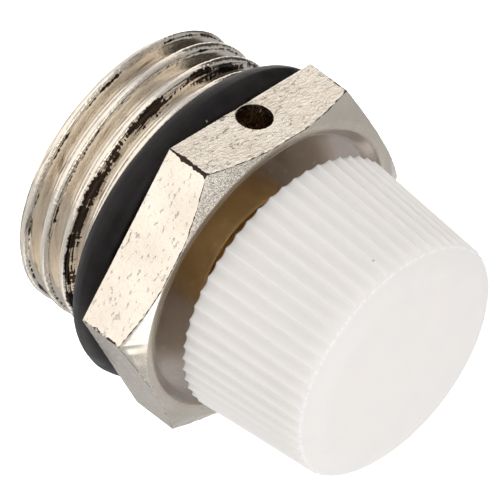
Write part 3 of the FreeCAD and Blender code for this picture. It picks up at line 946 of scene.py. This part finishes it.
        # Painted shadow lines beside each crest, carried in the edge mark.
        edge = self.tearing.line(place, seam * slow, last)
        crest = bell(place, 0.64, 0.05, 4) + 0.25 * bell(place, 0.49, 0.1, 4)
        crest = crest * np.ones(turn.size)
        low_r = np.minimum(self.thread_radius(((0 - self.phase) / self.pitch - lift) % 1.0), self.end_r)
        outer = np.minimum(radius, self.blank_radius(z))
        outer = np.where(z <= 0, low_r[None, :], outer)
        outer = np.where(z >= self.groove_low, self.groove_r, outer)
        height = np.clip(z, 0, self.groove_low)
        thread = np.stack([outer, height], -1)[::-1]
        inner = self.spigot_bore(low_r, turn)
        top = level_ring(self.groove_r, self.join_z, turn)[None]
        profile = np.concatenate([top, thread, inner[1:]])
        finish = np.zeros(len(profile), int)
        end_face_rows = 5
        finish[len(thread) + end_face_rows :] = 1
        shown = (z[::-1] > 0) & (z[::-1] < self.run + 0.3)
        marks = {}
        for name, values in (("edge", edge), ("crest", crest)):
            marks[name] = np.zeros(profile.shape[:2])
            marks[name][1 : len(thread) + 1] = np.where(shown, values[::-1], 0)
        points = around_axis(profile, turn[None, :])
        grid = GridMesh("inlet_spigot", points, True, False, True, finish, marks)
        return grid.build(materials)

    def collar_angles(self) -> np.ndarray:
        """Column angles: even, with more at the six corners and across the drain hole.

        Returns:
            Rising angles in radians, from -pi to just under pi.
        """
        even = np.linspace(-math.pi, math.pi, 456, endpoint=False)
        near = np.radians(np.linspace(-1.2, 1.2, 15))
        corners = np.concatenate([math.radians(60 * k) + near for k in range(-3, 4)])
        hole = np.radians(-90 + np.linspace(-8.5, 8.5, 151))
        turn = np.unique(np.round(np.concatenate([even, corners, hole]), 6))
        turn = turn[(turn >= -math.pi) & (turn < math.pi - 1e-5)]
        keep = np.concatenate([[True], np.diff(turn) > 5e-4])
        return turn[keep]

    def hexagon_radius(self, turn: np.ndarray) -> np.ndarray:
        """Distance from the axis to the hexagon with rounded corners, at each angle.

        On a flat it is the half width over the cosine of the angle from the flat's middle; near a
        corner it is where the ray meets the corner's small circle.

        Args:
            turn: Angles in radians.

        Returns:
            Distances in millimetres.
        """
        sector = (turn + math.pi / 6) % (math.pi / 3) - math.pi / 6
        off_corner = np.abs(sector)
        straight = self.flat / np.cos(math.pi / 6 - off_corner)
        centre = (self.flat - self.corner_round) / math.cos(math.pi / 6)
        inside = np.clip(self.corner_round**2 - (centre * np.sin(off_corner)) ** 2, 0, None)
        rounded = centre * np.cos(off_corner) + np.sqrt(inside)
        reach = math.atan((self.flat - self.corner_round) * math.tan(math.pi / 6) / self.flat)
        return np.where(off_corner < math.pi / 6 - reach, rounded, straight)

    def drained(self, points: np.ndarray) -> tuple:
        """Press the drain hole into the front flat.

        With d the distance from the hole's centre on the flat, rings of the grid are carried to the
        rim, then down the wall, across the step, down the narrow bore and over its end.

        Args:
            points: The collar's points.

        Returns:
            The points with the hole, and how deep in the hole each one is, from 0 to 1; the plate darkens
            the hole with painted shade by this depth.
        """
        x, y, z = points[..., 0], points[..., 1], points[..., 2]
        across, up = x, z - self.drain_z
        d = np.hypot(across, up)
        reach = self.drain_reach
        on_flat = (y < -self.flat + 0.01) & (d < reach)
        start = np.array([0.0, 0.34, 0.62, 0.70, 1.10, 1.22, 1.40, reach])
        bore, rim = self.drain_bore, self.drain_r
        to_r = np.array([0.0, bore - 0.02, bore, rim - 0.04, rim, rim + 0.01, rim + 0.09, reach])
        step = self.drain_depth
        to_depth = np.array([self.drain_end, self.drain_end, step, step, 0.10, 0.035, 0.0, 0.0])
        new_r = np.interp(d, start, to_r)
        depth = np.interp(d, start, to_depth)
        scale = np.where(d > 1e-6, new_r / np.maximum(d, 1e-6), 1.0)
        out = points.copy()
        out[..., 0] = np.where(on_flat, across * scale, x)
        out[..., 2] = np.where(on_flat, self.drain_z + up * scale, z)
        out[..., 1] = np.where(on_flat, y + depth, y)
        return out, np.where(on_flat, smooth_step(depth, 0.1, 1.3), 0.0)

    def collar_marks(
        self, turn: np.ndarray, profile: np.ndarray, runs: np.ndarray, rim_z: np.ndarray
    ) -> dict:
        """Where the collar is torn, peppered and coarse.

        The edge mark is a bell below the chamfer's lower line, and on each corner of the hexagon a
        band that wanders and narrows towards the seat.

        Args:
            turn: Column angles.
            profile: (rows, columns, 2) radius and height.
            runs: Run number of each row.
            rim_z: Height of the chamfer's lower line in each column.

        Returns:
            The edge, speck and coarse marks by name.
        """
        height = profile[..., 1]
        half_turn = math.pi
        front, seen_corner = -math.pi / 2, -math.pi / 3
        from_front = np.abs((turn - front + half_turn) % (2 * math.pi) - half_turn)[None, :]
        from_corner = np.abs((turn - seen_corner + half_turn) % (2 * math.pi) - half_turn)
        sector = np.abs((turn + math.pi / 6) % (math.pi / 3) - math.pi / 6)[None, :]
        rim = 0.62 * bell(rim_z[None, :], height, 0.10)
        band = 0.011 + 0.006 * wobble(height * 1.3, 1, 14, 23)
        taper = 0.35 + 0.65 * smooth_step(height, self.seat_z, self.seat_z + 2.6)
        corner = 1 - smooth_step(sector, 0.7 * band * taper, band * taper + 0.004)
        strength = np.where(from_corner < 0.1, 1.0, 0.5)[None, :]
        on_side = ((runs >= 2) & (runs < 3))[:, None]
        full = np.ones(height.shape)
        return {
            "edge": np.where(on_side, np.maximum(rim, corner * strength), 0.0),
            "speck": smooth_step(np.cos(turn - seen_corner)[None, :], 0.80, 0.93) * full,
            "coarse": np.where(from_front < math.pi / 6, 1.0, 0.5) * full,
        }

    def collar(self, materials: Sequence) -> bpy.types.Object:
        """Hexagon collar with chamfer, dished front and bore, as one closed ring.

        Args:
            materials: Flat, chamfer, front, dish and bored finishes.

        Returns:
            The collar.
        """
        turn = self.collar_angles()
        hexagon = self.hexagon_radius(turn)
        chamfer_z = self.front_z - np.maximum(hexagon - self.chamfer_r, 0) * self.chamfer_slope
        chamfer_z = chamfer_z + wobble(turn, 30, 160, 11, 0.4) * 0.012
        chamfer_z = np.minimum(chamfer_z, self.front_z - 0.02)
        edge_r = np.minimum(hexagon, self.chamfer_r) - 0.02
        outline = [
            (self.groove_r - 1.0, self.lap_z),
            (self.groove_r - 0.2, self.seat_z - 0.02),
            (hexagon, self.seat_z),
            (hexagon, chamfer_z),
            (edge_r, self.front_z),
            (self.dish_rim, self.front_z),
            (self.dish_floor, self.dish_z),
            (self.mouth_r, self.dish_z),
            (self.bore_r, self.gland_high),
            (self.gland_r, self.gland_high),
            (self.gland_r, self.gland_low),
            (self.bore_r, self.gland_low),
            (self.bore_r, self.relief_high),
            (self.relief_r, self.relief_high),
            (self.relief_r, self.relief_low),
            (self.bore_r, self.relief_low - 0.4),
            (self.bore_r, self.lap_z),
            (self.groove_r - 1.0, self.lap_z),
        ]
        corners = [level_ring(radius, height, turn) for radius, height in outline]
        easing = [0, 0.02, 0.04, 0.04, 0.06, 0.13, 0.16, 0.10] + [0.03] * 8 + [0.02, 0]
        steps = [1, 2, 56, 4, 3, 4, 9, 1] + [1] * 9
        profile, runs = softened_path(corners, easing, steps, 2)
        profile = profile[:-1]
        runs = runs[:-1]
        points, deep = self.drained(around_axis(profile, turn[None, :]))
        finish = np.select([runs < 3, runs < 4, runs < 5, runs < 7], [0, 1, 2, 3], 4)
        marks = self.collar_marks(turn, profile, runs, chamfer_z)
        # The deep mark darkens the drain hole with painted shade.
        marks["deep"] = deep
        grid = GridMesh("hexagon_collar", points, True, True, False, finish, marks)
        return grid.build(materials)

    def build(self) -> list:
        """Make and dress the body's two surfaces.

        Returns:
            The objects.
        """
        chased = NickelPlate("nickel_thread", Grain.THREADED, polish=0.12).make()
        bored = NickelPlate("nickel_bore", Grain.BORED, polish=0.2).make()
        flats = NickelPlate("nickel_flat", Grain.ROLLED, polish=0.16).make()
        chamfer = NickelPlate("nickel_chamfer", Grain.SHOT).make()
        turned = NickelPlate("nickel_turned", Grain.TURNED, polish=0.16).make()
        # The dish wall and floor get a darker copy of the plate: painted shade for the recess under the
        # knob.
        dish_shade_tint, dish_shade_low = (0.60, 0.522, 0.462), (0.50, 0.436, 0.385)
        dish = NickelPlate("nickel_dish", Grain.TURNED, dish_shade_tint, dish_shade_low, polish=0.14).make()
        things = [self.spigot([chased, bored]), self.collar([flats, chamfer, turned, dish, bored])]
        for thing in things:
            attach(thing, "body")
            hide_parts("valve_body")
        return things


@dataclass
class HandKnob:
    """White ribbed knob: drafted fluted skirt, soft shoulder, slightly crowned end, webbed inside."""

    flutes: int = 55
    per_flute: int = 14
    low: float = 15.65
    rim_z: float = 25.36
    low_r: float = 9.88
    rim_r: float = 9.12
    top_z: float = 26.72
    face_r: float = 7.32
    face_z: float = 26.355
    shoulder: float = 3.04
    bead_z: float = 25.60
    bead_height: float = 0.045
    depth: float = 0.25
    fade: float = 0.09
    cavity_low: float = 8.45
    cavity_top: float = 7.75
    cavity_z: float = 25.0
    hub_r: float = 6.1
    hub_low: float = 16.6
    spline_r: float = 4.6
    stem_top: float = 24.7
    webs: int = 6
    web_thick: float = 0.9
    web_low: float = 18.1
    web_high: float = 25.2

    def wall(self, z: np.ndarray) -> np.ndarray:
        """Radius of the rib tips at a height, on the drafted wall carried straight up."""
        slope = (self.low_r - self.rim_r) / (self.rim_z - self.low)
        return self.low_r - (z - self.low) * slope

    def shell(self, materials: Sequence) -> bpy.types.Object:
        """Skin of the knob from the crown, down the outside, and up the inside to the hub's ceiling.

        The outer radius is the lesser of the shoulder's outline and the fluted wall, whose flutes are
        parabolas between sharp tips: wall - depth * (1 - u^2), with u from -1 to 1 across a flute.

        Args:
            materials: The plastic.

        Returns:
            The shell.
        """
        turn = np.linspace(0, 2 * math.pi, self.flutes * self.per_flute, endpoint=False)
        rise = self.top_z - self.face_z
        crown_r = (self.face_r**2 + rise**2) / (2 * rise)
        radii = np.linspace(0.001, self.face_r, 12)
        crown = [(r, self.top_z - crown_r + math.sqrt(crown_r**2 - r * r)) for r in radii]
        start = (self.face_r, self.face_z)
        end = (self.rim_r, self.rim_z)
        mid = ((start[0] + end[0]) / 2, (start[1] + end[1]) / 2)
        chord = math.hypot(end[0] - start[0], end[1] - start[1])
        drop = math.sqrt(self.shoulder**2 - (chord / 2) ** 2)
        side = ((end[1] - start[1]) / chord, -(end[0] - start[0]) / chord)
        centre = (mid[0] + side[0] * drop, mid[1] + side[1] * drop)
        first = math.atan2(start[1] - centre[1], start[0] - centre[0])
        last = math.atan2(end[1] - centre[1], end[0] - centre[0])
        bend = [
            (centre[0] + self.shoulder * math.cos(a), centre[1] + self.shoulder * math.sin(a))
            for a in np.linspace(first, last, 26)[1:]
        ]
        skirt_z = np.linspace(end[1], self.low + 0.06, 30)[1:]
        skirt = [(self.wall(z), z) for z in skirt_z]
        outer = np.stack([level_ring(radius, height, turn) for radius, height in crown + bend + skirt])
        inside = [
            (self.wall(self.low), self.low),
            (self.cavity_low, self.low),
            (self.cavity_top, self.cavity_z),
            (self.hub_r, self.cavity_z),
            (self.hub_r, self.hub_low),
            (self.spline_r, self.hub_low),
            (self.spline_r, self.stem_top),
            (0.001, self.stem_top),
        ]
        inner_corners = [level_ring(radius, height, turn) for radius, height in inside]
        easing = [0, 0.12, 0.4, 0.4, 0.12, 0.1, 0.05, 0]
        inner, _runs = softened_path(inner_corners, easing, [3, 4, 2, 3, 2, 3, 3], 3)
        phase = (turn * self.flutes / (2 * math.pi)) % 1.0
        across = 2 * phase - 1
        height = (outer[..., 1] - self.low) / (self.rim_z - self.low)
        depth = self.depth - self.fade * np.clip(height, 0, 1)
        soft = (1 - across**2) * (0.9 + 0.1 * np.clip(wobble(turn, 1, 9, 31), -1, 1))
        fluted = self.wall(outer[..., 1]) - depth * soft[None, :]
        beads = 0.55 + 0.45 * np.clip(wobble(turn, 30, 170, 37, 0.2), -1, 1)
        ridge = bell(outer[..., 1], self.bead_z, self.bead_height)
        bead = self.bead_height * ridge * beads[None, :]
        outer[..., 0] = np.minimum(outer[..., 0], fluted) + bead
        under_skirt = inner[..., 0] > self.cavity_low + 0.3
        trimmed = np.minimum(inner[..., 0], fluted[-1][None, :])
        inner[..., 0] = np.where(under_skirt, trimmed, inner[..., 0])
        profile = np.concatenate([outer, inner])
        # The lip mark lays a painted highlight along the bead at the rib ends.
        lip = np.zeros(profile.shape[:2])
        lip[: len(outer)] = np.clip(bead / 0.03, 0, 1)
        points = around_axis(profile, turn[None, :])
        grid = GridMesh("knob_shell", points, False, True, True, None, {"lip": lip})
        return grid.build(materials)

    def web(self, number: int, materials: Sequence) -> bpy.types.Object:
        """One web between the hub and the skirt, with a rounded lower edge.

        Its upright outline, a slot shape of |x| <= thickness / 2 whose foot is half an ellipse, is
        carried from inside the hub to inside the skirt, and gathered to a point at both ends.

        Args:
            number: Which web, counted round the axis.
            materials: The plastic.

        Returns:
            The web.
        """
        half, foot = self.web_thick / 2, 0.3
        foot_turn = np.linspace(math.pi, 2 * math.pi, 9)
        foot_z = self.web_low + foot
        climb = np.linspace(foot_z, self.web_high, 12)[1:-1]
        side, top = np.full(climb.size, half), np.linspace(half, -half, 4)
        across = np.concatenate([half * np.cos(foot_turn), side, top, -side])
        top_z = np.full(top.size, self.web_high)
        rises = np.concatenate([foot_z + foot * np.sin(foot_turn), climb, top_z, climb[::-1]])
        taper = (self.cavity_low - self.cavity_top) / (self.cavity_z - self.low)
        reach = self.cavity_low - (rises - self.low) * taper + 0.15
        start = self.hub_r - 0.3
        share = np.linspace(0, 1, 8)[:, None]
        along = start + (reach[None, :] - start) * share
        rows = np.stack([along, across + 0 * share, rises + 0 * share], -1)
        ends = [np.broadcast_to(rows[k].mean(axis=0), rows[k].shape) for k in (0, -1)]
        rows = np.concatenate([ends[0][None], rows, ends[1][None]])
        a = 2 * math.pi * number / self.webs
        x = rows[..., 0] * math.cos(a) - rows[..., 1] * math.sin(a)
        y = rows[..., 0] * math.sin(a) + rows[..., 1] * math.cos(a)
        points = np.stack([x, y, rows[..., 2]], -1)
        return GridMesh(f"knob_web_{number + 1}", points, False, True, True).build(materials)

    def build(self) -> list:
        """Make and dress the knob.

        Returns:
            The objects.
        """
        plastic = MilkyPlastic().make()
        things = [self.shell([plastic])]
        things += [self.web(k, [plastic]) for k in range(self.webs)]
        for thing in things:
            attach(thing, "knob")
            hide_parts("knob_cap")
        return things


@dataclass
class SealRing:
    """Moulded rubber ring with a slightly uneven squeeze."""

    name: str
    node: str
    centre_r: float
    section: float
    height: float
    squeeze: float = 0.98
    unevenness: float = 0.004
    flash: float = 0.02
    flash_width: float = 0.06

    def build(self, material: bpy.types.Material) -> bpy.types.Object:
        """Make the ring as a circle carried round a circle, with a trace of flash at its widest.

        Args:
            material: The rubber.

        Returns:
            The ring.
        """
        turn = np.linspace(0, 2 * math.pi, 360, endpoint=False)
        swing = np.linspace(0, 2 * math.pi, 56, endpoint=False)[:, None]
        section = self.section * self.squeeze * (1 + self.unevenness * wobble(turn, 2, 9, 17)[None, :])
        outside = np.exp(-((np.sin(swing) / self.flash_width) ** 2)) * (np.cos(swing) > 0)
        radius = self.centre_r + (section + self.flash * self.section * outside) * np.cos(swing)
        height = self.height + section * np.sin(swing)
        profile = np.stack([radius, height], -1)
        grid = GridMesh(self.name, around_axis(profile, turn[None, :]), True)
        thing = grid.build([material])
        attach(thing, "body")
        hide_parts(self.node)
        return thing


@dataclass
class CoilSpring:
    """Round-wire coil on the disc pack, built at one length; on the vent it shortens as the pack swells."""

    radius: float = 2.6
    wire: float = 0.22
    turns: float = 3.5
    travel: float = 0.5
    squared: float = 0.75
    rows: int = 220
    columns: int = 12
    end_power: int = 400

    def build(self, material: bpy.types.Material) -> bpy.types.Object:
        """Make the coil as a wire circle carried along a helix whose end turns lie almost flat.

        The height climbs as smooth-step blended with a straight line, and the wire's radius goes to
        nothing at both ends.

        Args:
            material: The wire's finish.

        Returns:
            The coil.
        """
        low, high = (np.array(corner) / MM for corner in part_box("pack_spring"))
        share = np.linspace(0, 1, self.rows)[:, None]
        turn = 2 * math.pi * self.turns * share
        eased = share * share * (3 - 2 * share)
        climb = share + (eased - share) * self.squared
        middle = low[2] + self.wire + (high[2] - low[2] - 2 * self.wire) * climb
        swing = np.linspace(0, 2 * math.pi, self.columns, endpoint=False)[None, :]
        thick = self.wire * np.sqrt(np.clip(1 - np.abs(2 * share - 1) ** self.end_power, 0, 1))
        radius = self.radius + thick * np.cos(swing)
        height = middle + thick * np.sin(swing)
        points = np.stack([radius * np.cos(turn), radius * np.sin(turn), height], -1)
        thing = GridMesh("pack_coil", points, False, True, True).build([material])
        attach(thing, "knob")
        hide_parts("pack_spring")
        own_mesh(thing)
        return thing


class InnerWorks:
    """Dresses the carried-over nodes that live inside the body and the knob."""

    def __init__(self) -> None:
        """Make the finishes, keyed by the record's material slots."""
        self.finishes = {
            "brass": BareMetal("turned_brass", (0.76, 0.56, 0.27), (0.60, 0.42, 0.19)).make(),
            "spring_steel": BareMetal("spring_steel", (0.62, 0.62, 0.63), (0.48, 0.48, 0.49)).make(),
            "black_rubber": MouldedRubber("inner_rubber").make(),
            "fibre": PressedFibre().make(),
            "nickel_plate": NickelPlate("nickel_spare", Grain.TURNED).make(),
            "white_plastic": MilkyPlastic("inner_plastic").make(),
        }

    def dress(self) -> None:
        """Give every CAD node the finish of its slot."""
        for part in frame["record"]["subparts"]:
            node = frame["nodes"][part["node"]]
            node.data.materials.clear()
            node.data.materials.append(self.finishes[part["material_slot"]])
            log.info("%s wears %s", node.name, part["material_slot"])


def heading(azimuth: float, elevation: float) -> Vector:
    """Unit vector at an azimuth from +X towards +Y and an elevation, both in degrees."""
    a, e = math.radians(azimuth), math.radians(elevation)
    return Vector((math.cos(e) * math.cos(a), math.cos(e) * math.sin(a), math.sin(e)))


@dataclass(frozen=True)
class Softbox:
    """A rectangular softbox that faces the object; a glow of 1 shows as white."""

    name: str
    azimuth: float
    elevation: float
    distance: float
    size: tuple
    glow: float
    tint: tuple = (1.0, 1.0, 1.0)

    def stand(self, centre: Vector) -> None:
        """Place the softbox round a point.

        Args:
            centre: The point that it faces.
        """
        light = bpy.data.lights.new(self.name, "AREA")
        light.shape = "RECTANGLE"
        light.size, light.size_y = self.size
        light.energy = self.glow * math.pi * self.size[0] * self.size[1]
        light.color = self.tint
        thing = bpy.data.objects.new(self.name, light)
        way = heading(self.azimuth, self.elevation)
        thing.location = way * self.distance + centre
        thing.rotation_mode = "QUATERNION"
        thing.rotation_quaternion = way.to_track_quat("Z", "Y")
        thing.visible_camera = False
        bpy.context.scene.collection.objects.link(thing)


@dataclass(frozen=True)
class Card:
    """A dark or grey card in front of the lights, for the metal to reflect."""

    name: str
    azimuth: float
    elevation: float
    distance: float
    size: tuple
    glow: float
    shade: float = 0.02

    def stand(self, centre: Vector) -> None:
        """Place the card round a point, where only reflections see it.

        Args:
            centre: The point that it faces.
        """
        way = heading(self.azimuth, self.elevation)
        side = heading(self.azimuth + 90, 0)
        rise = way.cross(side)
        middle = way * self.distance + centre
        half = ((-1, -1), (1, -1), (1, 1), (-1, 1))
        width, height = self.size
        corners = [middle + side * (u * width / 2) + rise * (v * height / 2) for u, v in half]
        mesh = bpy.data.meshes.new(self.name)
        mesh.from_pydata(corners, [], [(0, 1, 2, 3)])
        mesh.materials.append(StudioPaper(self.name + "_card", self.shade, self.glow).make())
        thing = bpy.data.objects.new(self.name, mesh)
        thing.visible_camera = False
        thing.visible_diffuse = False
        thing.visible_shadow = False
        bpy.context.scene.collection.objects.link(thing)


WARM = (1.0, 0.955, 0.89)
AMBER = (1.0, 0.905, 0.80)
SOFTBOXES = (
    Softbox("box_right", -44, -24, 0.4, (0.92, 0.42), 0.66, WARM),
    Softbox("box_left", -166, -26, 0.4, (0.48, 0.42), 0.62, AMBER),
    Softbox("box_back", 72, -8, 0.45, (0.46, 0.26), 0.62, WARM),
    Softbox("box_top", -60, 82, 0.55, (0.5, 0.5), 0.5),
    Softbox("box_front", -50, 46, 0.7, (0.42, 0.42), 1.3),
    Softbox("box_high", 100, 66, 0.6, (0.4, 0.4), 2.3),
)
CARDS = (
    Card("flag_seam", 7, -34, 0.37, (0.022, 0.36), 0.0),
    Card("flag_left", -171, -14, 0.36, (0.32, 0.27), 0.02),
    Card("flag_low", 108, -28, 0.42, (0.22, 0.26), 0.46),
)


@dataclass
class Studio:
    """Pale floor, softboxes and the camera."""

    aim: tuple = (0.247, -0.607, 12.28)
    azimuth: float = 40.41
    elevation: float = 27.98
    roll: float = 126.69
    distance: float = 695.2
    lens: float = 752.9
    floor_z: float = -0.5
    floor_half: float = 6.0
    middle_z: float = 0.013
    wash_size: float = 0.3
    wash_glow: float = 2.4
    wash_azimuth: float = 130.4
    wash_reach: float = 0.94
    wash_lift: float = 0.18
    room_tint: tuple = (0.94, 0.95, 0.97, 1.0)
    room_glow: float = 0.56

    def floor(self) -> None:
        """Lay the seamless floor well below the object."""
        mesh = bpy.data.meshes.new("floor")
        half, z = self.floor_half, self.floor_z
        corners = [(-half, -half, z), (half, -half, z), (half, half, z), (-half, half, z)]
        mesh.from_pydata(corners, [], [(0, 1, 2, 3)])
        thing = bpy.data.objects.new("floor", mesh)
        bpy.context.scene.collection.objects.link(thing)
        mesh.materials.append(StudioPaper().make())

    def wash(self) -> None:
        """Light the floor behind the object from a panel just above it that faces straight down."""
        light = bpy.data.lights.new("floor_wash", "AREA")
        light.shape = "SQUARE"
        light.size = self.wash_size
        light.energy = self.wash_glow * math.pi * light.size**2
        thing = bpy.data.objects.new("floor_wash", light)
        way = heading(self.wash_azimuth, 0)
        thing.location = way * self.wash_reach + Vector((0, 0, self.floor_z + self.wash_lift))
        thing.visible_camera = False
        bpy.context.scene.collection.objects.link(thing)

    def lights(self) -> None:
        """Set the softboxes, the cards and the even light of the room."""
        centre = Vector((0, 0, self.middle_z))
        for stood in SOFTBOXES + CARDS:
            stood.stand(centre)
        self.wash()
        world = bpy.data.worlds.new("room")
        world.use_nodes = True
        back = world.node_tree.nodes["Background"]
        back.inputs["Color"].default_value = self.room_tint
        back.inputs["Strength"].default_value = self.room_glow
        bpy.context.scene.world = world

    def camera(self) -> None:
        """Aim the long lens, rolled so that the vent lies on its side."""
        a, e, r = (math.radians(v) for v in (self.azimuth, self.elevation, self.roll))
        back = Vector((math.sin(a) * math.cos(e), -math.cos(a) * math.cos(e), math.sin(e)))
        level = Vector((math.cos(a), math.sin(a), 0.0))
        rise = back.cross(level)
        right = level * math.cos(r) + rise * math.sin(r)
        up = rise * math.cos(r) - level * math.sin(r)
        turn = Matrix((right, up, back)).transposed()
        data = bpy.data.cameras.new("camera")
        data.lens = self.lens
        data.sensor_width = 36.0
        data.clip_start, data.clip_end = 0.01, 30.0
        thing = bpy.data.objects.new("camera", data)
        place = (Vector(self.aim) + back * self.distance) * MM
        thing.matrix_world = Matrix.Translation(place) @ turn.to_4x4()
        bpy.context.scene.collection.objects.link(thing)
        bpy.context.scene.camera = thing

    def build(self) -> None:
        """Set the whole studio up."""
        self.floor()
        self.lights()
        self.camera()
        view = bpy.context.scene.view_settings
        view.view_transform = "Standard"
        view.look = "None"


def main() -> None:
    """Build and dress the vent, then the studio round it."""
    logging.basicConfig(level=logging.INFO, format="%(name)s: %(message)s")
    works = InnerWorks()
    works.dress()
    CoilSpring().build(works.finishes["spring_steel"])
    ValveBody().build()
    HandKnob().build()
    rubber = MouldedRubber().make()
    ring = SealRing("flange_ring", "flange_seal_ring", centre_r=10.64, section=1.43, height=8.13)
    ring.build(rubber)
    Studio().build()


if __name__ == "__main__":
    main()
